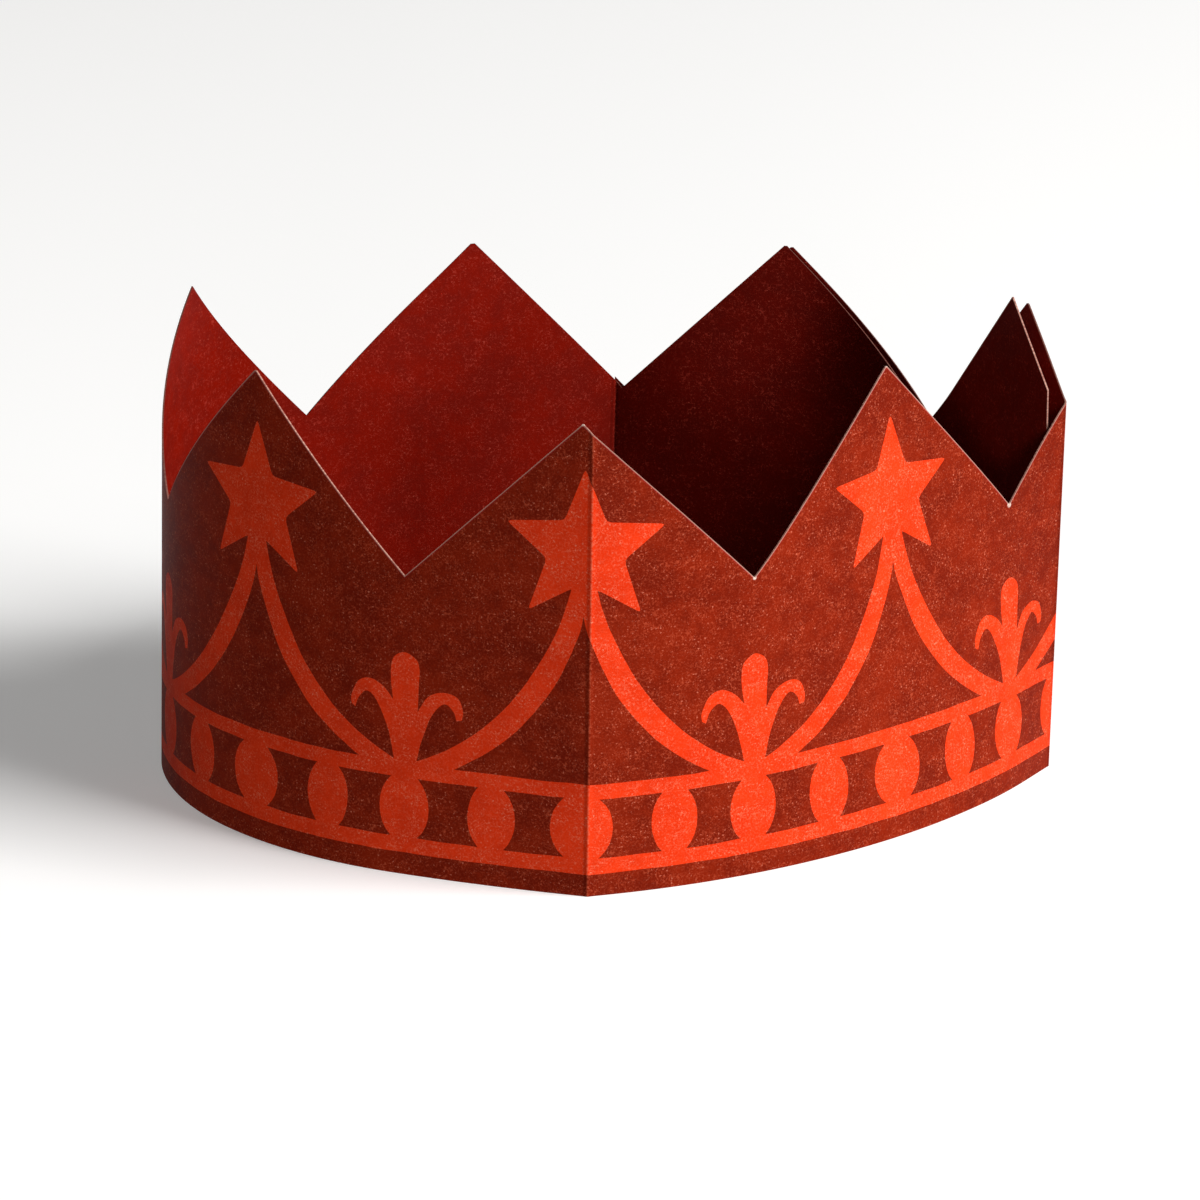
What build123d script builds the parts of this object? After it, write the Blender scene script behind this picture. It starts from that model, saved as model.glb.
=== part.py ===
"""Paper crown: one printed strip of card, cut to a zigzag along its top edge, folded into five equal
panels and opened into a ring that stands on its straight bottom edge.

Four panels go round the ring. The fifth laps over the first one from outside, at the rear right.
A place on the strip is its distance s along the card, from the free end that lies inside the ring.
Seen from above, s runs anticlockwise: rear right, rear left, front left, front right, lap.
Every panel is a chain of gentle bends. The corners are sharp folds, apart from the left one, which has
relaxed until the card bends smoothly through it.
"""
import os
from math import ceil, floor, radians, sin

from build123d import *

# ---- driving dimensions, millimetres and degrees ----
tooth_pitch = 80.0        # from one point of the crown to the next
teeth_round = 7           # points round the ring, counted once where the card laps
peak_height = 106.6       # bottom edge to the points
valley_height = 67.5      # bottom edge to the bottom of each cut
tip_width = 0.7           # blunt width left at each point
card_thickness = 0.35
first_peak = 17.6         # inner free end of the strip to the first point
fold_radius = 0.6         # middle of the card, at each folded corner
lap_gap = 1.6             # middle of the inner layer to middle of the lap outside it
lap_setback = 2.0         # how far the inner free end stops short of the folded corner beside it

panels_round = 4
panel_length = teeth_round * tooth_pitch / panels_round
strip_length = (panels_round + 1) * panel_length

# How far each third of a panel bends, in degrees, anticlockwise seen from above
rear_right_bends = (-1.0, 47.0, -11.0)
rear_left_bends = (-15.0, 39.0, 47.0)
front_left_bends = (35.5, 22.5, 7.5)
front_right_bends = (27.0, 7.0, 7.0)
free_end_heading = 118.0  # direction of the card at its inner free end, anticlockwise from +X

cut_clearance = 0.225     # how far the scissor cuts reach beyond each face of the card
cut_reach = card_thickness / 2 + cut_clearance


def panel(bends, fold_before, fold_after):
    """One panel's thirds as (length, bend), shortened by its half of the fold at each end."""
    third = panel_length / len(bends)
    lengths = [third] * len(bends)
    lengths[0] -= fold_length(fold_before) / 2
    lengths[-1] -= fold_length(fold_after) / 2
    return list(zip(lengths, bends))


def fold_length(fold):
    """Length of card taken up by a folded corner."""
    return fold_radius * radians(abs(fold))


def walk(stretches):
    """Follow the middle of the card: a list of (s, point, heading, length, bend) and its far end."""
    s, point, heading = 0.0, Vector(0, 0), free_end_heading
    chain = []
    for length, bend in stretches:
        chain.append((s, point, heading, length, bend))
        point = point + step(heading, length, bend)
        heading += bend
        s += length
    return chain, point, heading


def step(heading, length, bend):
    """Straight line from one end of a bent stretch to the other."""
    half = radians(bend) / 2
    chord = length if half == 0 else length * sin(half) / half
    return Vector(chord, 0).rotate(Axis.Z, heading + bend / 2)


def outward(heading):
    """Unit vector to the outside of the ring."""
    return Vector(1, 0).rotate(Axis.Z, heading - 90)


def ring(rear_fold, front_fold):
    """The four panels that go round, up to the end of the folded corner at the right."""
    right_fold = 360 - (sum(rear_right_bends) + rear_fold + sum(rear_left_bends)
                        + sum(front_left_bends) + front_fold + sum(front_right_bends))
    stretches = panel(rear_right_bends, 0, rear_fold)
    stretches += [(fold_length(rear_fold), rear_fold)]
    stretches += panel(rear_left_bends, rear_fold, 0)
    stretches += panel(front_left_bends, 0, front_fold)
    stretches += [(fold_length(front_fold), front_fold)]
    stretches += panel(front_right_bends, front_fold, right_fold)
    stretches += [(fold_length(right_fold), right_fold)]
    return stretches, right_fold


def miss(rear_fold, front_fold):
    """How far the ring ends from where its lap should start, outside the inner free end."""
    stretches, right_fold = ring(rear_fold, front_fold)
    along = fold_length(right_fold) / 2 - lap_setback
    wanted = outward(free_end_heading) * lap_gap + Vector(along, 0).rotate(Axis.Z, free_end_heading)
    gap = walk(stretches)[1] - wanted
    return gap.X, gap.Y


def close_ring(rear_fold=50.0, front_fold=30.0, rounds=12, nudge=0.01):
    """Newton's method on the rear and front folds, which spring open until the ring closes."""
    for _ in range(rounds):
        x, y = miss(rear_fold, front_fold)
        x_rear, y_rear = miss(rear_fold + nudge, front_fold)
        x_front, y_front = miss(rear_fold, front_fold + nudge)
        a, b, c, d = x_rear - x, x_front - x, y_rear - y, y_front - y
        rear_fold -= nudge * (d * x - b * y) / (a * d - b * c)
        front_fold -= nudge * (a * y - c * x) / (a * d - b * c)
    return rear_fold, front_fold


def lap(right_fold):
    """The fifth panel, parallel to the first one and lap_gap outside it, up to the strip's end."""
    left_over = panel_length - fold_length(right_fold) / 2
    stretches = []
    for i, (length, bend) in enumerate(panel(rear_right_bends, 0, 0)):
        length += lap_gap * radians(bend)
        if i == 0:
            length += lap_setback - fold_length(right_fold) / 2
        kept = min(length, left_over)
        stretches.append((kept, bend * kept / length))
        left_over -= kept
    return stretches


rear_fold, front_fold = close_ring()
ring_stretches, right_fold = ring(rear_fold, front_fold)
chain, strip_end, end_heading = walk(ring_stretches + lap(right_fold))


def side_edges(offset):
    """One face of the card seen from above, as lines and arcs. A positive offset is inside the ring."""
    edges = []
    for _, point, heading, length, bend in chain:
        start = point - outward(heading) * offset
        direction = Vector(1, 0).rotate(Axis.Z, heading)
        if bend == 0:
            edges.append(Line(start, start + direction * length))
        else:
            radius = length / radians(abs(bend)) - (offset if bend > 0 else -offset)
            edges.append(JernArc(start, direction, radius, bend))
    return edges


def on_card(stretch, along, offset, height):
    """A point in space: a distance along one stretch, an offset into the ring and a height."""
    _, point, heading, length, bend = stretch
    turned = bend * along / length
    place = point + step(heading, along, turned) - outward(heading + turned) * offset
    return Vector(place.X, place.Y, height)


def cut_height(s):
    """Height of the zigzag cut at a distance along the strip."""
    half_pitch = tooth_pitch / 2
    from_peak = abs((s - first_peak + half_pitch) % tooth_pitch - half_pitch)
    slope = (peak_height - valley_height) / (half_pitch - tip_width / 2)
    return valley_height + slope * (half_pitch - from_peak)


def cutter(stretch, s_start, s_end, points=7):
    """The waste above one straight run of the cut, along one stretch of the card."""
    s0 = stretch[0]
    rails = []
    for offset in (-cut_reach, cut_reach):
        places = []
        for i in range(points):
            s = s_start + (s_end - s_start) * i / (points - 1)
            places.append(on_card(stretch, s - s0, offset, cut_height(s)))
        rails.append(Spline(*places))
    return extrude(Face.make_surface_from_curves(rails[0].edge(), rails[1].edge()), peak_height, (0, 0, 1))


# ---- the whole strip, standing at its full height ----
inside = side_edges(card_thickness / 2)
outside = side_edges(-card_thickness / 2)
free_ends = [Line(inside[0] @ 0, outside[0] @ 0), Line(inside[-1] @ 1, outside[-1] @ 1)]
card = extrude(make_face(inside + outside + free_ends), peak_height)

# ---- the zigzag: every straight run of the cut, split where the card's bend changes ----
half_pitch = tooth_pitch / 2
first_turn = floor(-first_peak / half_pitch)
last_turn = ceil((strip_length - first_peak) / half_pitch)
turns = [first_peak + half_pitch * i for i in range(first_turn, last_turn + 1)]
for run_start, run_end in zip(turns, turns[1:]):
    for stretch in chain:
        start = max(run_start, stretch[0])
        end = min(run_end, stretch[0] + stretch[3])
        if end > start:
            card = card.cut(cutter(stretch, start, end))

centre = card.bounding_box().center()
crown_band = Pos(-centre.X, -centre.Y, 0) * card
crown_band.label = "crown_band"

os.makedirs("parts", exist_ok=True)
export_step(crown_band, "parts/crown_band.step")

box = crown_band.bounding_box()
print("folds: rear", round(rear_fold, 2), "front", round(front_fold, 2), "right", round(right_fold, 2))
print("crown", [round(v, 2) for v in (box.size.X, box.size.Y, box.size.Z)],
      "volume", round(crown_band.volume, 1), "valid", crown_band.is_valid)
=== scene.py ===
"""Looks of the paper crown: one card strip, printed, cut to a zigzag, folded and lapped into a ring.

The card is drawn flat first, where a place is its distance s along the strip and its height z, in
millimetres. The print is drawn there too, as bands, beads, swags, stars and lilies that repeat with the
teeth. The flat card is then bent round two plan lines, one at the foot and one at the height of the
teeth, so the walls lean a little as springy card does.
"""
from math import ceil, cos, floor, pi, radians, sin

import bpy
import numpy as np
from mathutils import Matrix, Vector, noise
from mathutils.geometry import delaunay_2d_cdt


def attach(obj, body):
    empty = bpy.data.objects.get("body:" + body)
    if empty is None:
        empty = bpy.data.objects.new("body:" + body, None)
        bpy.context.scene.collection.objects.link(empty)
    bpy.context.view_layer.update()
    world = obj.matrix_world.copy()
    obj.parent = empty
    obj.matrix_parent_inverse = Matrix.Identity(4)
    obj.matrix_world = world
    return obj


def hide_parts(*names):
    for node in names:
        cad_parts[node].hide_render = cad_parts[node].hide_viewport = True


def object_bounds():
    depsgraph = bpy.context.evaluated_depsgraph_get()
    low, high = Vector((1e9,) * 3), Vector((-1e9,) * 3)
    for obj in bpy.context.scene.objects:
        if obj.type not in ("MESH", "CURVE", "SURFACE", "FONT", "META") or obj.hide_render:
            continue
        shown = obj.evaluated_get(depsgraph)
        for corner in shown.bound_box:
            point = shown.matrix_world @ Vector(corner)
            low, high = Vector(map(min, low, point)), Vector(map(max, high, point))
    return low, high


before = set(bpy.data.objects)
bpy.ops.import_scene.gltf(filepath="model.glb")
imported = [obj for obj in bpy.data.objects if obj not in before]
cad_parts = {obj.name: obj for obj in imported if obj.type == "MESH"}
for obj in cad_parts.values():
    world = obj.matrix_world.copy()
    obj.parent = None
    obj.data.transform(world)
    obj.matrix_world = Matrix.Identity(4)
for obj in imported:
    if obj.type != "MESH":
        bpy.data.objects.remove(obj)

bl_info = {
    "name": "Paper crown",
    "version": (1, 0, 0),
    "blender": (4, 5, 0),
    "location": "3D View > Sidebar > Paper crown",
    "description": "Builds a printed paper crown and the plain stage it stands on",
    "category": "Add Mesh",
}

CAD_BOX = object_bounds()
MM = 0.001

# ---- the strip, in millimetres ----
TOOTH_PITCH = 80.0
FIRST_PEAK = 17.4          # free end inside the ring to the first point
PEAK_HEIGHT = CAD_BOX[1].z / MM
VALLEY_HEIGHT = 67.5
PANEL_LENGTH = 140.0       # as the folds were meant to be; the creases are where they are
PANEL_COUNT = 5
STRIP_LENGTH = PANEL_COUNT * PANEL_LENGTH
REAR_CREASE = 139.05
LEFT_CREASE = 285.3        # relaxed, so the card bends smoothly through it
FRONT_CREASE = 419.65
RIGHT_CREASE = 557.85
CREASES = (REAR_CREASE, LEFT_CREASE, FRONT_CREASE, RIGHT_CREASE)
SHARP_CREASES = (REAR_CREASE, FRONT_CREASE, RIGHT_CREASE)
FOLD_RADIUS = 0.6
TEETH_LINE = 104.0         # height of the upper plan line

# Each tooth from the free end inside the ring: how far it rises above PEAK_HEIGHT, and how much of its
# tip is cut off
TOOTH_RISES = (1.3, -0.7, 0.0, 0.0, 0.0, -1.2, 0.0, -1.0, -1.6)
TIP_CUTS = (0.1, 0.35, 0.5, 0.0, 0.3, 0.15, 0.2, 0.3, 0.3)

# Where the wall strays sideways: place on the strip, reach along it and shift towards +X
STRAYS = ((272.0, 40.0, -0.9), (553.0, 14.0, -0.6))


class PlanLine:
    """The middle of the card seen from above, at one height: arcs that bend each third of a panel."""

    def __init__(self, start, heading, bends, lap_start, lap_end, setback):
        self.start = np.array(start)
        self.heading = heading
        self.bends = bends
        self.lap_gaps = (lap_start, lap_end)
        self.setback = setback
        self.close()
        self.sample()

    def stretches(self, rear, front):
        """Each stretch of the ring as (length, bend), the folded corners included."""
        folds = [0, rear, 0, front, 360 - sum(self.bends) - rear - front]
        ends = (0,) + CREASES
        out = []
        for i in range(4):
            third = (ends[i + 1] - ends[i]) / 3
            lengths = [third] * 3
            lengths[0] -= self.fold_length(folds[i]) / 2
            lengths[2] -= self.fold_length(folds[i + 1]) / 2
            out += list(zip(lengths, self.bends[3 * i:3 * i + 3]))
            if folds[i + 1]:
                out.append((self.fold_length(folds[i + 1]), folds[i + 1]))
        return out

    @staticmethod
    def fold_length(fold):
        """Length of card taken up by a folded corner."""
        return FOLD_RADIUS * radians(abs(fold))

    @staticmethod
    def step(heading, length, bend):
        """Straight line from one end of a bent stretch to the other."""
        half = radians(bend) / 2
        chord = length * np.sinc(half / pi)
        angle = radians(heading) + half
        return np.array((chord * np.cos(angle), chord * np.sin(angle)))

    def miss(self, rear, front):
        """How far the ring ends from where its lap starts, outside the free end."""
        stretches = self.stretches(rear, front)
        place = np.zeros(2)
        heading = self.heading
        for length, bend in stretches:
            place = place + self.step(heading, length, bend)
            heading += bend
        along = stretches[-1][0] / 2 - self.setback
        a = radians(self.heading)
        gap = self.lap_gaps[0]
        return place - (gap * np.array((sin(a), -cos(a))) + along * np.array((cos(a), sin(a))))

    def close(self, rounds=10, nudge=0.001):
        """Newton's method on the rear and front folds, which spring open until the ring closes."""
        folds = np.array((48.0, 29.0))
        for _ in range(rounds):
            missed = self.miss(*folds)
            slope_rear = (self.miss(folds[0] + nudge, folds[1]) - missed) / nudge
            slope_front = (self.miss(folds[0], folds[1] + nudge) - missed) / nudge
            folds = folds - np.linalg.solve(np.column_stack((slope_rear, slope_front)), missed)
        self.folds = folds

    def sample(self, spacing=1.5, least=6):
        """Points close together along the line, which at() reads between."""
        s, place, heading = 0.0, self.start, self.heading
        rows = [(s, place[0], place[1], heading)]
        for length, bend in self.stretches(*self.folds):
            count = max(least, ceil(length / spacing))
            for i in range(1, count + 1):
                along = length * i / count
                turned = bend * i / count
                x, y = place + self.step(heading, along, turned)
                rows.append((s + along, x, y, heading + turned))
            place = np.array(rows[-1][1:3])
            heading += bend
            s += length
        ring = np.array(rows)
        lap_length = STRIP_LENGTH - RIGHT_CREASE
        inner = np.arange(s - RIGHT_CREASE - self.setback + spacing, lap_length + spacing, spacing)
        x, y, angle = (np.interp(inner, ring[:, 0], ring[:, k]) for k in (1, 2, 3))
        gap = np.interp(inner, (0, lap_length), self.lap_gaps)
        x = x + gap * np.sin(np.radians(angle))
        y = y - gap * np.cos(np.radians(angle))
        steps = np.hypot(np.diff(x, prepend=ring[-1, 1]), np.diff(y, prepend=ring[-1, 2]))
        self.rows = np.vstack((ring, np.column_stack((s + np.cumsum(steps), x, y, angle + 360))))

    def at(self, s):
        """Places on the line, as an array of x and one of y."""
        return [np.interp(s, self.rows[:, 0], self.rows[:, k]) for k in (1, 2)]


FOOT = PlanLine(start=(100.28, -3.75), heading=112.93, lap_start=2.8, lap_end=1.06, setback=-0.17,
                bends=(1.1, 58.6, -9.3, -14.6, 45.2, 46.6, 32.9, 26.8, 7.7, 16.1, 15.3, 13.4))
TEETH = PlanLine(start=(98.81, -6.18), heading=113.29, lap_start=5.62, lap_end=1.06, setback=0.07,
                 bends=(-1.2, 53.1, -9.0, -19.8, 38.2, 44.4, 40.4, 19.2, 7.1, 35.7, -2.3, 0.5))

RIDGE_HEIGHT = 0.1         # the scored crease stands out from the card this much
RIDGE_REACH = 0.55


def ridge(s):
    """How far the card stands out beside its creases."""
    out = np.zeros_like(s)
    for crease in SHARP_CREASES:
        out = out + RIDGE_HEIGHT * np.exp(-((s - crease) / RIDGE_REACH) ** 2)
    return out


def mid_card(s, z):
    """Places on the middle of the card in millimetres, as an array of x, y, z."""
    share = z / TEETH_LINE
    x0, y0 = FOOT.at(s)
    x1, y1 = TEETH.at(s)
    stray = sum(shift * np.exp(-((s - place) / reach) ** 2) for place, reach, shift in STRAYS)
    return np.stack((x0 + (x1 - x0) * share + stray, y0 + (y1 - y0) * share, z), axis=-1)


def card_normals(s, z, nudge=0.05):
    """Unit vectors out of the printed face."""
    along = mid_card(s + nudge, z) - mid_card(s - nudge, z)
    up = mid_card(s, z + nudge) - mid_card(s, z - nudge)
    across = np.cross(along, up)
    across /= np.linalg.norm(across, axis=-1, keepdims=True)
    tilt = (ridge(s + nudge) - ridge(s - nudge)) / (2 * nudge)
    along /= np.linalg.norm(along, axis=-1, keepdims=True)
    tilted = across - along * tilt[..., None]
    return across, tilted / np.linalg.norm(tilted, axis=-1, keepdims=True)


def cut_height(s):
    """Height of the zigzag cut."""
    half = TOOTH_PITCH / 2
    tooth = np.floor((s - FIRST_PEAK) / TOOTH_PITCH + 0.5).astype(int)
    from_peak = np.abs(s - FIRST_PEAK - tooth * TOOTH_PITCH)
    known = np.clip(tooth, 0, len(TIP_CUTS) - 1)
    top = PEAK_HEIGHT + np.array(TOOTH_RISES)[known]
    slope = (top - VALLEY_HEIGHT) / half
    return np.minimum(top - slope * from_peak, top - np.array(TIP_CUTS)[known])


# ---- the print of one tooth, in pitches either side of the axis of its star ----
PRINT_SHIFT = 0.0095 * TOOTH_PITCH   # the star stands this much beside the point of its tooth
LOWER_BAND = (0.0625, 0.1075)
UPPER_BAND = (0.2775, 0.320)
BEAD_HEIGHT = 0.1925
LILY_PLACE = (0.4945, -0.006)   # its own axis and foot, from the star's axis and the bottom edge
BEAD_REACH = 0.101
BEADS = ((0.0, 0.087), (0.260, 0.0665), (0.4965, 0.072), (0.748, 0.0675))   # place, half width

STAR_TOP, STAR_NOTCH, STAR_ARM = (0, 1.197), (0.056, 1.051), (0.218, 1.035)
STAR_WAIST, STAR_LEG, STAR_FORK = (0.105, 0.944), (0.155, 0.795), (0.035, 0.866)
SWAG_OVER = (STAR_FORK, (0.053, 0.80), (0.0745, 0.74), (0.1195, 0.65), (0.1835, 0.55),
             (0.274, 0.45), (0.3675, 0.38), (0.4415, 0.34), (0.505, 0.314))
SWAG_UNDER = ((0, 0.792), (0.012, 0.74), (0.0485, 0.65), (0.1025, 0.55), (0.1835, 0.45),
              (0.264, 0.38), (0.325, 0.34), (0.361, 0.319))

LILY_PETAL = ((0.039, 0.475), (0.042, 0.55), (0.043, 0.592), (0.034, 0.620), (0, 0.637),
              (-0.034, 0.618), (-0.043, 0.580), (-0.040, 0.54), (-0.033, 0.501))
LILY_LEFT_OVER = ((-0.033, 0.501), (-0.064, 0.534), (-0.103, 0.552), (-0.139, 0.539), (-0.161, 0.496),
                  (-0.160, 0.470))
LILY_LEFT_UNDER = ((-0.148, 0.463), (-0.137, 0.494), (-0.111, 0.514), (-0.082, 0.489), (-0.050, 0.419),
                   (-0.029, 0.335))
LILY_RIGHT_UNDER = ((0.038, 0.335), (0.052, 0.394), (0.079, 0.466), (0.115, 0.506), (0.142, 0.490),
                    (0.152, 0.464))
LILY_RIGHT_OVER = ((0.168, 0.468), (0.170, 0.494), (0.154, 0.528), (0.114, 0.539), (0.068, 0.519),
                   (0.039, 0.475))


def through(places, steps=5):
    """A smooth curve through the places, as points (a Catmull-Rom spline)."""
    p = np.array([places[0], *places, places[-1]], float)
    p[0] = 2 * p[1] - p[2]
    p[-1] = 2 * p[-2] - p[-3]
    t = np.arange(steps)[:, None] / steps
    out = [0.5 * (2 * b + (c - a) * t + (2 * a - 5 * b + 4 * c - d) * t ** 2
                  + (3 * b - a - 3 * c + d) * t ** 3) for a, b, c, d in zip(p, p[1:], p[2:], p[3:])]
    return [tuple(q) for q in np.vstack(out)] + [tuple(places[-1])]


def blunted(corners, cut=0.013):
    """A closed outline whose corners are rounded off a little, as a printing plate leaves them."""
    out = []
    p = np.array(corners, float)
    for before, corner, after in zip(np.roll(p, 1, 0), p, np.roll(p, -1, 0)):
        a = corner + (before - corner) / np.linalg.norm(before - corner) * cut
        b = corner + (after - corner) / np.linalg.norm(after - corner) * cut
        out += [tuple(a), tuple((a + 2 * corner + b) / 4), tuple(b)]
    return out


def mirrored(places):
    """The same places on the other side of the axis, in reverse order."""
    return [(-u, z) for u, z in reversed(places)]


def star():
    half = [STAR_TOP, STAR_NOTCH, STAR_ARM, STAR_WAIST, STAR_LEG, STAR_FORK]
    return blunted(mirrored(half[1:]) + half)


def swag():
    """The right-hand swag of a star, from the fork under it to the lily."""
    return through(SWAG_OVER) + [(0.505, 0.30), (0.361, 0.30)] + through(SWAG_UNDER[::-1]) + [(0, 0.87)]


def lily():
    return (through(LILY_PETAL)[:-1] + through(LILY_LEFT_OVER) + through(LILY_LEFT_UNDER)
            + [(-0.029, 0.30), (0.038, 0.30)] + through(LILY_RIGHT_UNDER) + through(LILY_RIGHT_OVER)[:-1])


def bead(place, half_width, points=26):
    """One oval between the bands."""
    angles = [2 * pi * i / points for i in range(points)]
    return [(place + half_width * cos(a), BEAD_HEIGHT + BEAD_REACH * sin(a)) for a in angles]


WOBBLES = ((0.16, 7.0), (0.07, 1.6))   # how far the print strays, and over what length
WOBBLE_SEED = 7            # without a seed of its own, the noise differs from one run to the next


def strayed(place, seed=0.0):
    """A point of the print where the hand-cut plate left it."""
    s, z = place
    for stray, length in WOBBLES:
        push = noise.noise_vector(Vector((s / length, z / length, seed + length)))
        s += stray * push.x
        z += stray * push.y
    return s, z


def print_outlines():
    """Every field of the ornament on the flat strip, as closed outlines in millimetres."""
    noise.seed_set(WOBBLE_SEED)
    first = floor(-FIRST_PEAK / TOOTH_PITCH) - 1
    last = ceil((STRIP_LENGTH - FIRST_PEAK) / TOOTH_PITCH) + 1
    motifs = [star(), swag(), mirrored(swag())]
    motifs += [bead(*b) for b in BEADS]
    motifs += [[(u + LILY_PLACE[0], z + LILY_PLACE[1]) for u, z in lily()]]
    outlines = []
    for tooth in range(first, last):
        axis = FIRST_PEAK + PRINT_SHIFT + tooth * TOOTH_PITCH
        for motif in motifs:
            outline = np.array([strayed((axis + u * TOOTH_PITCH, z * TOOTH_PITCH)) for u, z in motif])
            if outline[:, 0].max() > 0 and outline[:, 0].min() < STRIP_LENGTH:
                outlines.append(outline)
    overhang, spacing = 3.0, 2.0
    along = np.arange(-overhang, STRIP_LENGTH + overhang, spacing)
    for low, high in (LOWER_BAND, UPPER_BAND):
        lower = [strayed((s, low * TOOTH_PITCH)) for s in along]
        upper = [strayed((s, high * TOOTH_PITCH)) for s in along[::-1]]
        outlines.append(np.array(lower + upper))
    return outlines


def inside(outline, s, z):
    """Which of the points lie inside a closed outline."""
    within = np.zeros(len(s), bool)
    low, high = outline.min(0), outline.max(0)
    near = np.flatnonzero((s > low[0]) & (s < high[0]) & (z > low[1]) & (z < high[1]))
    a, b = outline, np.roll(outline, -1, 0)
    s, z = s[near, None], z[near, None]
    crosses = (a[:, 1] > z) != (b[:, 1] > z)
    rise = np.where(b[:, 1] == a[:, 1], 1.0, b[:, 1] - a[:, 1])
    where = a[:, 0] + (b[:, 0] - a[:, 0]) * (z - a[:, 1]) / rise
    within[near] = (crosses & (s < where)).sum(1) % 2 == 1
    return within


# ---- the flat card as triangles ----
GRID_ALONG, GRID_UP = 2.6, 6.0
CREASE_COLUMNS = (-1.3, -0.85, -0.5, -0.27, -0.1, 0.1, 0.27, 0.5, 0.85, 1.3)
CUT_SPACING = 2.0
BELOW_TURNS = (0.7, 1.6, 3.2)   # extra places below each point and each valley
MERGE_DISTANCE = 0.002
LEAST_AREA = 1e-6


class FlatDrawing:
    """Points and lines that the card's triangles have to follow."""

    def __init__(self):
        self.places = []
        self.lines = []

    def draw(self, places, closed=False):
        first = len(self.places)
        self.places += [Vector(p) for p in places]
        last = len(self.places) - 1
        self.lines += [(i, i + 1) for i in range(first, last)]
        if closed:
            self.lines.append((last, first))

    def dot(self, places):
        self.places += [Vector(p) for p in places]


def strip_outline():
    """The cut edge of the strip: foot, free end, zigzag and free end."""
    foot = [(s, 0.0) for s in np.linspace(0, STRIP_LENGTH, round(STRIP_LENGTH / GRID_ALONG) + 1)]
    turns = [0.0, STRIP_LENGTH]
    for tooth, (rise, tip_cut) in enumerate(zip(TOOTH_RISES, TIP_CUTS)):
        peak = FIRST_PEAK + tooth * TOOTH_PITCH
        blunt = tip_cut * TOOTH_PITCH / 2 / (PEAK_HEIGHT + rise - VALLEY_HEIGHT)
        turns += [peak - blunt, peak, peak + blunt, peak - TOOTH_PITCH / 2, peak + TOOTH_PITCH / 2]
    turns = sorted({round(t, 4) for t in turns if 0 <= t <= STRIP_LENGTH})
    zigzag = []
    for a, b in zip(turns, turns[1:]):
        count = max(1, round((b - a) / CUT_SPACING))
        zigzag += [a + (b - a) * i / count for i in range(count)]
    zigzag.append(STRIP_LENGTH)
    heights = cut_height(np.array(zigzag))
    return foot + [(s, float(h)) for s, h in zip(reversed(zigzag), reversed(heights))]


def flat_triangles():
    """Triangles of the flat strip: their corners' places, their corners and which are ornament."""
    drawing = FlatDrawing()
    drawing.draw(strip_outline(), closed=True)
    outlines = print_outlines()
    for outline in outlines:
        drawing.draw(outline, closed=True)
    for crease in SHARP_CREASES:
        for column in CREASE_COLUMNS:
            s = crease + column
            count = round(PEAK_HEIGHT / GRID_UP)
            drawing.draw([(s, PEAK_HEIGHT * i / count) for i in range(count + 1)])
    for panel in range(1, PANEL_COUNT):
        drawing.draw([(panel * PANEL_LENGTH, 0), (panel * PANEL_LENGTH, PEAK_HEIGHT)])
    rows = np.arange(GRID_UP / 2, PEAK_HEIGHT, GRID_UP)
    for i, z in enumerate(rows):
        along = np.arange(GRID_ALONG * (0.5 + 0.5 * (i % 2)), STRIP_LENGTH - 1, GRID_ALONG)
        drawing.dot([(s, z) for s in along if z < cut_height(s) - 1])
    for tooth in range(len(TIP_CUTS)):
        for turn in (FIRST_PEAK + tooth * TOOTH_PITCH, FIRST_PEAK + (tooth + 0.5) * TOOTH_PITCH):
            top = float(cut_height(np.array([turn]))[0])
            drawing.dot([(turn, top - drop) for drop in BELOW_TURNS if turn < STRIP_LENGTH])
    places, _, faces, *_ = delaunay_2d_cdt(drawing.places, drawing.lines, [], 0, MERGE_DISTANCE)
    places = np.array([tuple(p) for p in places])
    faces = np.array([f for f in faces if len(f) == 3])
    a, b, c = (places[faces[:, k]] for k in range(3))
    area = ((b - a)[:, 0] * (c - a)[:, 1] - (b - a)[:, 1] * (c - a)[:, 0]) / 2
    faces = np.where(area[:, None] < 0, faces[:, ::-1], faces)
    middle = (a + b + c) / 3
    s, z = middle[:, 0], middle[:, 1]
    kept = (s > 0) & (s < STRIP_LENGTH) & (z > 0) & (z < cut_height(s)) & (np.abs(area) > LEAST_AREA)
    faces, s, z = faces[kept], s[kept], z[kept]
    ornament = np.zeros(len(faces), bool)
    for outline in outlines:
        ornament |= inside(outline, s, z)
    used, faces = np.unique(faces, return_inverse=True)
    return places[used], faces.reshape(-1, 3), ornament


# ---- the bent card as a mesh ----
GROUND, ORNAMENT, INSIDE, CORE = range(4)
MAP_COLUMNS, MAP_ROWS, MAP_MARGIN = 3, 4, 1.6
EDGE_ROOM = 1.2            # height left on the flat map for each run of cut edge
SAME_PLACE = 1e-4


def rim_of(faces):
    """Edges that only one triangle has, in that triangle's direction."""
    edges = np.vstack([faces[:, (k, (k + 1) % 3)] for k in range(3)])
    keys = np.sort(edges, axis=1)
    _, index, count = np.unique(keys, axis=0, return_index=True, return_counts=True)
    return edges[index[count == 1]]


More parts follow.
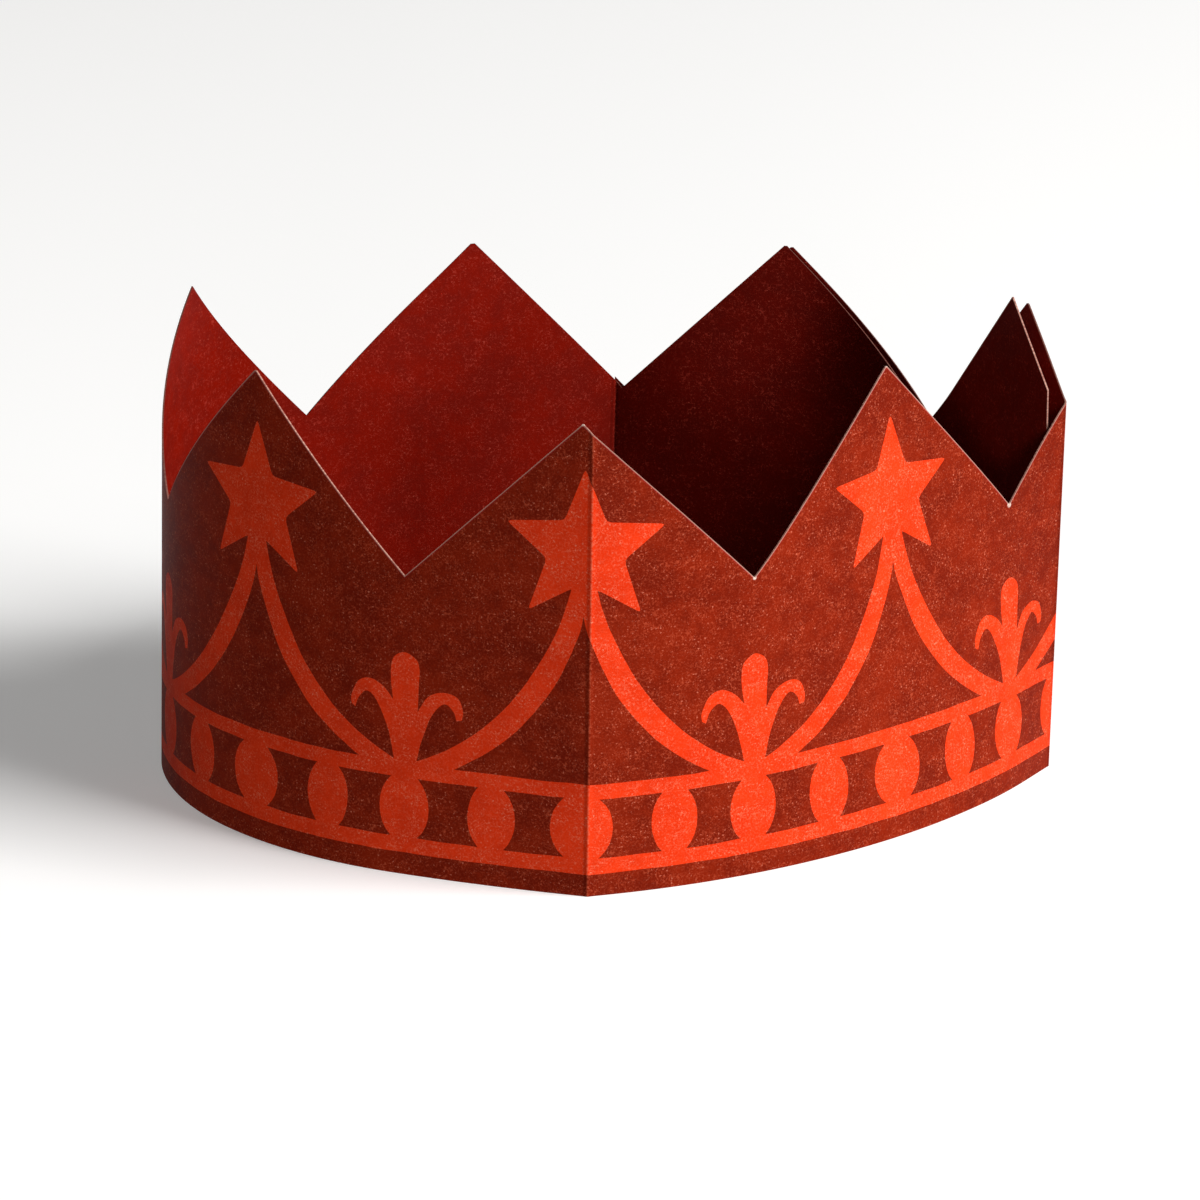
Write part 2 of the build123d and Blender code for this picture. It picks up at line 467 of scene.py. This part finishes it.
def flat_map(places, faces, rim):
    """Corner places on a square map: each face of each panel in its own cell, cut edges in one more."""
    width = PANEL_LENGTH + 2 * MAP_MARGIN
    height = PEAK_HEIGHT + max(TOOTH_RISES) + 2 * MAP_MARGIN
    size = max(MAP_COLUMNS * width, MAP_ROWS * height)

    def cell(number, s, z):
        column, row = number % MAP_COLUMNS, number // MAP_COLUMNS
        return np.stack((column * width + MAP_MARGIN + s, row * height + MAP_MARGIN + z), -1) / size

    s, z = places[faces][..., 0], places[faces][..., 1]
    panel = np.clip(s.mean(1) // PANEL_LENGTH, 0, PANEL_COUNT - 1).astype(int)[:, None]
    front = cell(panel, s - panel * PANEL_LENGTH, z)
    back = cell(panel + PANEL_COUNT, s - panel * PANEL_LENGTH, z)
    a, b = places[rim[:, 0]], places[rim[:, 1]]
    middle = (a + b) / 2
    panel = np.clip(middle[:, 0] // PANEL_LENGTH, 0, PANEL_COUNT - 1).astype(int)
    at_end = np.abs(a - b)[:, 0] < SAME_PLACE
    kind = np.where(middle[:, 1] < SAME_PLACE, 0, np.where(at_end, 2, 1))   # foot, zigzag, free end
    base = (panel * 3 + kind) * 2 * EDGE_ROOM
    run_a = np.where(kind == 2, a[:, 1], a[:, 0] - panel * PANEL_LENGTH)
    run_b = np.where(kind == 2, b[:, 1], b[:, 0] - panel * PANEL_LENGTH)
    low, high = base, base + EDGE_ROOM
    number = np.full(len(rim), 2 * PANEL_COUNT)
    edge = np.stack((cell(number, run_b, low), cell(number, run_a, low),
                     cell(number, run_a, high), cell(number, run_b, high)), axis=1)
    return front, back[:, ::-1], edge


def card_mesh(thickness):
    """The whole strip, bent into its ring, as one closed mesh of two faces and a cut edge."""
    places, faces, ornament = flat_triangles()
    rim = rim_of(faces)
    s, z = places[:, 0], places[:, 1]
    across, tilted = card_normals(s, z)
    middle = mid_card(s, z) + across * ridge(s)[:, None]
    half = thickness / MM / 2
    count = len(places)
    corners = np.vstack((middle + across * half, middle - across * half)) * MM
    corners[:, 2] = np.maximum(corners[:, 2], 0)
    quads = np.stack((rim[:, 1], rim[:, 0], rim[:, 0] + count, rim[:, 1] + count), axis=1)
    polygons = faces.tolist() + (faces[:, ::-1] + count).tolist() + quads.tolist()
    mesh = bpy.data.meshes.new("crown_card")
    mesh.from_pydata(corners.tolist(), [], polygons)

    slots = np.concatenate((np.where(ornament, ORNAMENT, GROUND), np.full(len(faces), INSIDE),
                            np.full(len(rim), CORE)))
    mesh.polygons.foreach_set("material_index", slots.astype(np.int32))
    flat = np.column_stack((s, z, np.zeros(count))) * MM
    mesh.attributes.new("flat_place", "FLOAT_VECTOR", "POINT").data.foreach_set(
        "vector", np.vstack((flat, flat)).astype(np.float32).ravel())
    slope = (PEAK_HEIGHT - VALLEY_HEIGHT) / (TOOTH_PITCH / 2)
    from_cut = (cut_height(s) - z) / np.hypot(1, slope) * MM
    mesh.attributes.new("from_cut", "FLOAT", "POINT").data.foreach_set(
        "value", np.concatenate((from_cut, from_cut)).astype(np.float32))

    front, back, edge = flat_map(places, faces, rim)
    corners_on_map = np.vstack((front.reshape(-1, 2), back.reshape(-1, 2), edge.reshape(-1, 2)))
    mesh.uv_layers.new(name="OFBake").data.foreach_set("uv", corners_on_map.astype(np.float32).ravel())

    mesh.polygons.foreach_set("use_smooth", np.ones(len(polygons), bool))
    a, b = corners[quads[:, 0]], corners[quads[:, 1]]
    flat_normals = np.cross(b - a, corners[quads[:, 2]] - b)
    flat_normals /= np.linalg.norm(flat_normals, axis=1, keepdims=True)
    normals = np.vstack((tilted[faces].reshape(-1, 3), -tilted[faces[:, ::-1]].reshape(-1, 3),
                         np.repeat(flat_normals, 4, axis=0)))
    mesh.normals_split_custom_set(normals.tolist())
    mesh.update()
    return mesh


# ---- shader maths as Python expressions ----
class Shade:
    """A value in a material that is being built. An expression on it adds the Math nodes."""

    def __init__(self, recipe, socket):
        self.recipe = recipe
        self.socket = socket

    def maths(self, operation, *values, **settings):
        settings["operation"] = operation
        node = self.recipe.node("ShaderNodeMath", settings, dict(enumerate(values)))
        return Shade(self.recipe, node.outputs[0])

    def __add__(self, other):
        return self.maths("ADD", self, other)

    def __radd__(self, other):
        return self.maths("ADD", other, self)

    def __sub__(self, other):
        return self.maths("SUBTRACT", self, other)

    def __rsub__(self, other):
        return self.maths("SUBTRACT", other, self)

    def __mul__(self, other):
        return self.maths("MULTIPLY", self, other)

    def __rmul__(self, other):
        return self.maths("MULTIPLY", other, self)

    def __abs__(self):
        return self.maths("ABSOLUTE", self)

    def clamped(self):
        return self.maths("ADD", self, 0.0, use_clamp=True)

    def most(self, other):
        return self.maths("MAXIMUM", self, other)

    def rise(self, low, high):
        """From 0 at low to 1 at high, smoothly. It falls instead where low is above high."""
        turned = low > high
        ends = (high, low, 1.0, 0.0) if turned else (low, high, 0.0, 1.0)
        node = self.recipe.node("ShaderNodeMapRange", {"interpolation_type": "SMOOTHSTEP"},
                                {0: self, 1: ends[0], 2: ends[1], 3: ends[2], 4: ends[3]})
        return Shade(self.recipe, node.outputs[0])


class Recipe:
    """A material's nodes. A place on the card is in millimetres, measured along the flat strip."""

    def __init__(self, name):
        self.material = bpy.data.materials.new(name)
        self.material.use_nodes = True
        self.tree = self.material.node_tree
        self.shader = self.tree.nodes["Principled BSDF"]
        self.flat = None

    def node(self, kind, settings=None, inputs=None):
        """A node of one kind: its settings first, then the values or links of its sockets."""
        made = self.tree.nodes.new(kind)
        for key, value in (settings or {}).items():
            setattr(made, key, value)
        for key, value in (inputs or {}).items():
            self.feed(made.inputs[key], value)
        return made

    def feed(self, socket, value):
        if isinstance(value, Shade):
            self.tree.links.new(value.socket, socket)
        elif isinstance(value, bpy.types.NodeSocket):
            self.tree.links.new(value, socket)
        elif socket.type == "RGBA" and len(value) == 3:
            socket.default_value = (*value, 1.0)
        else:
            socket.default_value = value

    def attribute(self, name, output):
        made = self.node("ShaderNodeAttribute", {"attribute_name": name})
        return made.outputs[output]

    def along(self):
        """Distance along the strip, in metres."""
        made = self.node("ShaderNodeSeparateXYZ", {}, {0: self.attribute("flat_place", "Vector")})
        return Shade(self, made.outputs[0])

    def line(self, s, half_width):
        """1 on a line up the card at s millimetres, fading to 0 at half_width from it."""
        return abs(self.along() - s * MM).rise(half_width * MM, 0.3 * half_width * MM)

    def spot(self, s, z, reach):
        """1 round one place of the flat card, fading to 0 at reach millimetres from it."""
        made = self.node("ShaderNodeVectorMath", {"operation": "DISTANCE"},
                         {0: self.attribute("flat_place", "Vector"), 1: (s * MM, z * MM, 0)})
        return Shade(self, made.outputs["Value"]).rise(reach * MM, 0.5 * reach * MM)

    def near_cut(self, reach, full):
        """1 within full millimetres of the zigzag cut, fading to 0 at reach from it."""
        return Shade(self, self.attribute("from_cut", "Fac")).rise(reach * MM, full * MM)

    def place(self, shift):
        """The flat place in millimetres, shifted to draw another sample of a noise."""
        if self.flat is None:
            self.flat = self.attribute("flat_place", "Vector")
        scaled = self.node("ShaderNodeVectorMath", {"operation": "MULTIPLY_ADD"},
                           {0: self.flat, 1: (1 / MM,) * 3, 2: shift})
        return scaled.outputs[0]

    def noise(self, size, detail, shift, roughness=0.5):
        """Noise from 0 to 1 whose patches are about size millimetres across."""
        made = self.node("ShaderNodeTexNoise", {"noise_dimensions": "3D"},
                         {"Vector": self.place(shift), "Scale": 1 / size, "Detail": detail,
                          "Roughness": roughness})
        return Shade(self, made.outputs[0])

    def mix(self, mask, low, high):
        """One colour where the mask is 0 and the other where it is 1."""
        made = self.node("ShaderNodeMix", {"data_type": "RGBA"}, {0: mask, 6: low, 7: high})
        return made.outputs[2]   # its colour sockets are 6, 7 and 2

    def bump(self, height, distance, strength):
        made = self.node("ShaderNodeBump", {}, {"Height": height, "Distance": distance,
                                                "Strength": strength})
        return made.outputs["Normal"]

    def finish(self, **sockets):
        for key, value in sockets.items():
            self.feed(self.shader.inputs[key.replace("_", " ")], value)
        return self.material


# ---- the card's finishes ----
GROUND_FLECKS = ((0.63, 0.100, 0.043), (0.74, 0.20, 0.12))    # flecks (also the painted highlight along the creases), palest specks
ORNAMENT_FLECKS = ((1.0, 0.19, 0.095), (1.0, 0.34, 0.21))
INSIDE_FLECKS = ((0.36, 0.034, 0.021), (0.44, 0.07, 0.045))
CORE_FIBRE = (0.28, 0.09, 0.07)
EDGE_TINT = (0.42, 0.014, 0.035)       # crimson under-print that shows along the cuts
TORN_COLOUR = (0.85, 0.66, 0.56)
SOILED_CORE = (0.085, 0.022, 0.016)    # cut edges at the rear and on the lap
CORE_GRAIN = 0.05 * MM

# Sizes of the mottle, in millimetres
CLOUD, PATCH, CROWD, SPECK, GRAIN = 14.0, 3.2, 4.2, 0.52, 0.46
LONG_FIBRE, SHORT_FIBRE = 1.7, 1.1

# Half widths of the painted shade line beside a crease and of the painted highlight along it, and reaches
# from the cut edge, in millimetres
CREASE_SHADE_WIDTH, CREASE_HIGHLIGHT_WIDTH = 0.55, 0.24
TINT_REACH, BARE_REACH = (0.55, 0.2), (0.27, 0.12)

# Where the cut edge starts to be soiled and where it ends, along the strip, and how far the painted shade
# of the rear right panel and the lap takes to fade in
SOILED_FROM, SOILED_TO = (50, 70), (310, 290)
SHADE_EDGE_REACH = 0.3

# Torn places: distance along the strip, height and reach, in millimetres
TORN = ((FIRST_PEAK + 5.0 * TOOTH_PITCH, PEAK_HEIGHT - 1.3, 0.5),
        (FIRST_PEAK + 5.5 * TOOTH_PITCH, VALLEY_HEIGHT, 0.6),
        (FIRST_PEAK + 6.0 * TOOTH_PITCH, PEAK_HEIGHT, 0.6),
        (FIRST_PEAK + 6.5 * TOOTH_PITCH, VALLEY_HEIGHT, 0.85))


def fibres(recipe, length, shift):
    """Short curled fibres: thin contour lines of one noise, broken up by another."""
    curl = recipe.noise(length, 1.0, shift)
    broken = recipe.noise(length * 0.7, 1.0, (shift[0] + 31, shift[1] + 17, 0)).rise(0.46, 0.58)
    return abs(curl - 0.5).rise(0.03, 0.004) * broken


def rear_or_lap(recipe):
    """1 where the cut edge is soiled: at the rear of the ring and on the lap."""
    along = recipe.along()
    rear = along.rise(*(s * MM for s in SOILED_FROM)) * along.rise(*(s * MM for s in SOILED_TO))
    return rear.most(along.rise((RIGHT_CREASE - 1) * MM, (RIGHT_CREASE + 1) * MM))


def torn(recipe):
    """Whitish places where the card's tips and the bottoms of its cuts are frayed."""
    spots = [recipe.spot(*place) for place in TORN]
    shown = spots[0]
    for spot in spots[1:]:
        shown = shown.most(spot)
    return shown * (0.45 + 0.55 * recipe.noise(0.5, 2.0, (4, 4, 0)).rise(0.4, 0.6))


def darkened(colour, share):
    """The colour with only a share of its light."""
    return tuple(c * share for c in colour)


def face_finish(name, colours, amounts, crease_shade_offset, tint, settings, shade=0.0):
    """Matt printed card: mottled ink, with flecks and fibres of the paper that show through it.

    colours are the ink, its darkest patches, the flecks (also the painted highlight along each crease)
    and the palest specks. amounts are how much of the flecks, of the fibres and of the specks shows.
    crease_shade_offset is how far the painted shade line beside each crease is from the crease, in
    millimetres. tint is how much of the crimson under-print shows at the cuts, and shade how much painted
    shade darkens the rear right panel and the lap.
    """
    ink_colour, deep, bright, pale = colours
    flecks, strands, specks = amounts
    recipe = Recipe(name)
    cloud = recipe.noise(CLOUD, 3.0, (3, 7, 0))
    patch = recipe.noise(PATCH, 3.0, (13, 5, 0), roughness=0.6)
    grain = recipe.noise(GRAIN, 1.0, (1, 2, 0))
    ink = recipe.mix((cloud * 0.5 + patch * 0.35 + grain * 0.15).rise(0.38, 0.62), deep, ink_colour)
    # Painted shade: the ink turns near black on the rear right panel and on the lap, standing in for
    # their shadow.
    along, reach = recipe.along(), SHADE_EDGE_REACH
    on_rear_right = along.rise((REAR_CREASE + reach) * MM, (REAR_CREASE - reach) * MM)
    on_lap = along.rise((RIGHT_CREASE - reach) * MM, (RIGHT_CREASE + reach) * MM)
    ink = recipe.mix(on_rear_right.most(on_lap) * shade, ink, darkened(deep, 0.1))
    crowd = 0.25 + 0.75 * recipe.noise(CROWD, 3.0, (41, 9, 0), roughness=0.65).rise(0.38, 0.62)
    ink = recipe.mix((grain.rise(0.46, 0.80) * crowd * flecks).clamped(), ink, bright)
    strand = fibres(recipe, LONG_FIBRE, (7, 11, 0)).most(fibres(recipe, SHORT_FIBRE, (19, 3, 0)))
    ink = recipe.mix((strand * crowd * strands).clamped(), ink, bright)
    speck = recipe.noise(SPECK, 0.5, (23, 29, 0)).rise(0.66, 0.76) * crowd
    ink = recipe.mix((speck * specks).clamped(), ink, pale)

    # Painted shade: a dark line beside each crease, where its groove would be in shadow. Painted
    # highlight: a broken pale line on the crease's ridge.
    broken = recipe.noise(0.9, 2.0, (5, 3, 0)).rise(0.38, 0.6)
    for crease in SHARP_CREASES:
        ink = recipe.mix(recipe.line(crease + crease_shade_offset, CREASE_SHADE_WIDTH) * 0.32, ink, darkened(deep, 0.35))
        ink = recipe.mix(recipe.line(crease, CREASE_HIGHLIGHT_WIDTH) * broken * 0.5, ink, bright)
    ink = recipe.mix(recipe.near_cut(*TINT_REACH) * tint, ink, EDGE_TINT)
    bare = recipe.near_cut(*BARE_REACH) * (1 - rear_or_lap(recipe))
    ink = recipe.mix(bare * 0.75, ink, settings.core_colour)
    ink = recipe.mix(torn(recipe), ink, TORN_COLOUR)
    relief = grain * 0.6 + patch * 0.5 + strand * 0.4
    return recipe.finish(Base_Color=ink, Roughness=(settings.roughness + 0.2 * (grain - 0.5)).clamped(),
                         Normal=recipe.bump(relief, settings.grain_depth, 0.7),
                         Specular_IOR_Level=settings.gloss)


def ground_finish(settings):
    """The deep red ground of the printed face."""
    colours = (settings.ground_colour, settings.ground_deep, *GROUND_FLECKS)
    return face_finish("card_ground", colours, amounts=(0.42, 0.45, 0.75), crease_shade_offset=-0.6, tint=0.3,
                       settings=settings)


def ornament_finish(settings):
    """The orange red ornament on the printed face."""
    colours = (settings.ornament_colour, settings.ornament_deep, *ORNAMENT_FLECKS)
    return face_finish("card_ornament", colours, amounts=(0.6, 0.55, 0.6), crease_shade_offset=-0.6, tint=0.3,
                       settings=settings)


def inside_finish(settings):
    """The plain red face inside the ring."""
    colours = (settings.inside_colour, settings.inside_deep, *INSIDE_FLECKS)
    # Painted shade darkens the inside of the rear right panel and of the lap.
    return face_finish("card_inside", colours, amounts=(0.16, 0.6, 0.5), crease_shade_offset=0.85, tint=0.0,
                       settings=settings, shade=0.4)


def core_finish(settings):
    """The cut edge: pale pinkish board with a few darker fibres."""
    recipe = Recipe("card_core")
    rough = recipe.noise(0.5, 3.0, (2, 8, 0))
    colour = recipe.mix(rough.rise(0.3, 0.7), CORE_FIBRE, settings.core_colour)
    colour = recipe.mix(rear_or_lap(recipe) * 0.85, colour, SOILED_CORE)
    colour = recipe.mix(torn(recipe), colour, TORN_COLOUR)
    return recipe.finish(Base_Color=colour, Roughness=0.75 + 0.1 * rough,
                         Normal=recipe.bump(rough, CORE_GRAIN, 0.6), Specular_IOR_Level=0.1)


# ---- what a user may change ----
def colour_property(name, description, default):
    return bpy.props.FloatVectorProperty(name=name, description=description, default=default,
                                         subtype="COLOR", size=3, min=0, max=1)


class CrownSettings(bpy.types.PropertyGroup):
    """Sizes and colours of the paper crown."""

    thickness: bpy.props.FloatProperty(
        name="Card thickness", description="Thickness of the card", default=0.35 * MM,
        min=0.15 * MM, max=0.8 * MM, unit="LENGTH", precision=5)
    grain_depth: bpy.props.FloatProperty(
        name="Grain depth", description="Depth of the paper's grain", default=0.045 * MM,
        min=0, max=0.3 * MM, unit="LENGTH", precision=6)
    roughness: bpy.props.FloatProperty(
        name="Roughness", description="Roughness of the printed face", default=0.56, min=0, max=1,
        subtype="FACTOR")
    gloss: bpy.props.FloatProperty(
        name="Gloss", description="Strength of the printed face's reflection", default=0.035, min=0,
        max=1, subtype="FACTOR")
    ground_colour: colour_property("Ground", "Deep red ground of the print", (0.265, 0.0155, 0.0028))
    ground_deep: colour_property("Ground, deep", "Darkest patches of the ground", (0.175, 0.0090, 0.0020))
    ornament_colour: colour_property("Ornament", "Orange red ornament", (0.94, 0.048, 0.0075))
    ornament_deep: colour_property("Ornament, deep", "Darkest patches of the ornament",
                                   (0.80, 0.036, 0.0050))
    inside_colour: colour_property("Inside", "Plain red inside face", (0.205, 0.0044, 0.0004))
    inside_deep: colour_property("Inside, deep", "Darkest patches of the inside", (0.160, 0.0048, 0.0018))
    core_colour: colour_property("Core", "Pale board seen at the cut edges", (0.56, 0.31, 0.24))


class StageSettings(bpy.types.PropertyGroup):
    """The floor, the lights and the camera."""

    floor_size: bpy.props.FloatProperty(
        name="Floor size", description="Width of the floor", default=9.0, min=2, max=40, unit="LENGTH")
    floor_colour: colour_property("Floor", "Plain pale floor", (0.86, 0.855, 0.845))
    key_power: bpy.props.FloatProperty(
        name="Key light", description="Power of the soft light at the front right", default=400.0, min=0,
        unit="POWER")
    fill_power: bpy.props.FloatProperty(
        name="Fill light", description="Power of the weak light low in front", default=34.0, min=0,
        unit="POWER")
    sky_strength: bpy.props.FloatProperty(
        name="Surround", description="Strength of the light from all round", default=0.05, min=0)
    lens: bpy.props.FloatProperty(
        name="Lens", description="Focal length of the camera", default=139.2, min=20, max=300,
        unit="CAMERA")


# ---- operators ----
class CROWN_OT_card(bpy.types.Operator):
    """Make the printed card and bend it into its ring"""

    bl_idname = "crown.card"
    bl_label = "Printed card"

    def execute(self, context):
        settings = context.scene.crown
        mesh = card_mesh(settings.thickness)
        for finish in (ground_finish, ornament_finish, inside_finish, core_finish):
            mesh.materials.append(finish(settings))
        card = bpy.data.objects.new("crown_card", mesh)
        context.scene.collection.objects.link(card)
        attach(card, "root")
        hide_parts("crown_band")
        return {"FINISHED"}


CAMERA_PLACE = (-0.0009, -1.0066, 0.3637)
CAMERA_TILT = 17.888       # degrees below level
CAMERA_ROLL = 0.21
KEY_AIM = (0.0, 0.0, 0.05)
KEY_DISTANCE, KEY_SIZE = 5.0, 2.8
KEY_AZIMUTH, KEY_ELEVATION = -22.0, 36.0
FILL_DISTANCE, FILL_SIZE = 3.0, 0.5
FILL_AZIMUTH, FILL_ELEVATION = -88.0, 2.5
FLOOR_GAP = 0.02 * MM      # the floor lies this much below the card's foot
FLOOR_GLOW = 0.3           # light that the floor gives off, so that it stays pale away from the lights
SKY_COLOUR = (1, 0.99, 0.98, 1)


def aimed_light(context, name, azimuth, elevation, distance, size, power):
    """A square soft light that faces the crown. Azimuth runs anticlockwise from +X."""
    a, e = radians(azimuth), radians(elevation)
    away = Vector((cos(a) * cos(e), sin(a) * cos(e), sin(e)))
    lamp = bpy.data.lights.new(name, "AREA")
    lamp.size = size
    lamp.energy = power
    light = bpy.data.objects.new(name, lamp)
    light.location = Vector(KEY_AIM) + away * distance
    light.rotation_euler = away.to_track_quat("Z", "Y").to_euler()
    context.scene.collection.objects.link(light)


class CROWN_OT_stage(bpy.types.Operator):
    """Make the floor, the lights and the camera"""

    bl_idname = "crown.stage"
    bl_label = "Stage"

    def execute(self, context):
        settings = context.scene.crown_stage
        half = settings.floor_size / 2
        below = -FLOOR_GAP
        mesh = bpy.data.meshes.new("stage_floor")
        mesh.from_pydata([(-half, -half, below), (half, -half, below), (half, half, below),
                          (-half, half, below)], [], [(0, 1, 2, 3)])
        colour = tuple(settings.floor_colour)
        mesh.materials.append(Recipe("stage_floor").finish(
            Base_Color=colour, Roughness=0.9, Specular_IOR_Level=0.1, Emission_Color=colour,
            Emission_Strength=FLOOR_GLOW))
        floor_piece = bpy.data.objects.new("stage_floor", mesh)
        floor_piece.visible_diffuse = False   # it throws no light back on the crown
        context.scene.collection.objects.link(floor_piece)

        aimed_light(context, "key_light", KEY_AZIMUTH, KEY_ELEVATION, KEY_DISTANCE, KEY_SIZE,
                    settings.key_power)
        aimed_light(context, "fill_light", FILL_AZIMUTH, FILL_ELEVATION, FILL_DISTANCE, FILL_SIZE,
                    settings.fill_power)

        world = bpy.data.worlds.new("surround")
        world.use_nodes = True
        sky = world.node_tree.nodes["Background"]
        sky.inputs["Color"].default_value = SKY_COLOUR
        sky.inputs["Strength"].default_value = settings.sky_strength
        context.scene.world = world
        context.scene.view_settings.view_transform = "Standard"

        lens = bpy.data.cameras.new("camera")
        lens.lens = settings.lens
        lens.sensor_width = 36
        lens.clip_end = 30
        camera = bpy.data.objects.new("camera", lens)
        tilt = Matrix.Rotation(radians(90 - CAMERA_TILT), 4, "X")
        roll = Matrix.Rotation(radians(CAMERA_ROLL), 4, "Z")
        camera.matrix_world = Matrix.Translation(CAMERA_PLACE) @ tilt @ roll
        context.scene.collection.objects.link(camera)
        context.scene.camera = camera
        return {"FINISHED"}


class CROWN_PT_panel(bpy.types.Panel):
    """Sizes, colours and buttons of the paper crown"""

    bl_idname = "CROWN_PT_panel"
    bl_label = "Paper crown"
    bl_space_type = "VIEW_3D"
    bl_region_type = "UI"
    bl_category = "Paper crown"

    def draw(self, context):
        for settings, operator in ((context.scene.crown, CROWN_OT_card),
                                   (context.scene.crown_stage, CROWN_OT_stage)):
            box = self.layout.box()
            for name in type(settings).__annotations__:
                box.prop(settings, name)
            box.operator(operator.bl_idname)


CLASSES = (CrownSettings, StageSettings, CROWN_OT_card, CROWN_OT_stage, CROWN_PT_panel)


def register():
    for made in CLASSES:
        bpy.utils.register_class(made)
    bpy.types.Scene.crown = bpy.props.PointerProperty(type=CrownSettings)
    bpy.types.Scene.crown_stage = bpy.props.PointerProperty(type=StageSettings)


def unregister():
    del bpy.types.Scene.crown
    del bpy.types.Scene.crown_stage
    for made in reversed(CLASSES):
        bpy.utils.unregister_class(made)


def main():
    register()
    bpy.ops.crown.card()
    bpy.ops.crown.stage()


if __name__ == "__main__":
    main()
